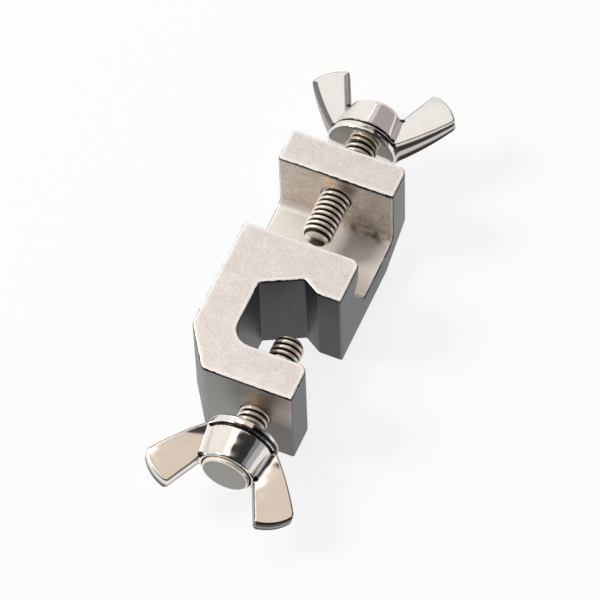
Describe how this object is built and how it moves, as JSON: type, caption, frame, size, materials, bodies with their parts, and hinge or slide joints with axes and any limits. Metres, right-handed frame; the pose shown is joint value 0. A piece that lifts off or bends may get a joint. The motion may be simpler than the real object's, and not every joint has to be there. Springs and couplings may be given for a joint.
{
  "type": "boss head clamp",
  "caption": "Boss head clamp: a plated metal block with two V jaws at right angles, each tightened by a wing screw, to join a cross rod to a stand rod.",
  "frame": {"origin": "centre of the block's flat back face", "axes": "+X across the block towards the open side of the lower jaw, +Y along the block towards the upper screw, +Z out of the front face, which the upper jaw opens to"},
  "size_m": [0.0357, 0.1024, 0.022],
  "materials": {
    "block": "satin",
    "stud": "satin",
    "wing_head": "polished"
  },
  "bodies": {
    "block": {"boss_body": "block"},
    "lower_screw": {"lower_stud": "stud"},
    "lower_wing": {"lower_wing_head": "wing_head"},
    "upper_screw": {"upper_stud": "stud"},
    "upper_wing": {"upper_wing_head": "wing_head"}
  },
  "joints": [
    {"name": "lower_feed", "type": "slide", "parent": "block", "child": "lower_screw", "axis": [0, 1, 0], "range_m": [-0.0102, 0.0051]},
    {"name": "lower_turn", "type": "hinge", "parent": "lower_screw", "child": "lower_wing", "pos_m": [0.0044, -0.0345, 0.011], "axis": [0, 1, 0], "range_deg": [-2880, 1440]},
    {"name": "upper_feed", "type": "slide", "parent": "block", "child": "upper_screw", "axis": [0, -1, 0], "range_m": [-0.0102, 0.0051]},
    {"name": "upper_turn", "type": "hinge", "parent": "upper_screw", "child": "upper_wing", "pos_m": [0, 0.0345, 0.0145], "axis": [0, -1, 0], "range_deg": [-2880, 1440]}
  ],
  "couplings": [
    {"joint": "lower_feed", "follows": "lower_turn", "m_per_rad": 0.00020213},
    {"joint": "upper_feed", "follows": "upper_turn", "m_per_rad": 0.00020213}
  ]
}
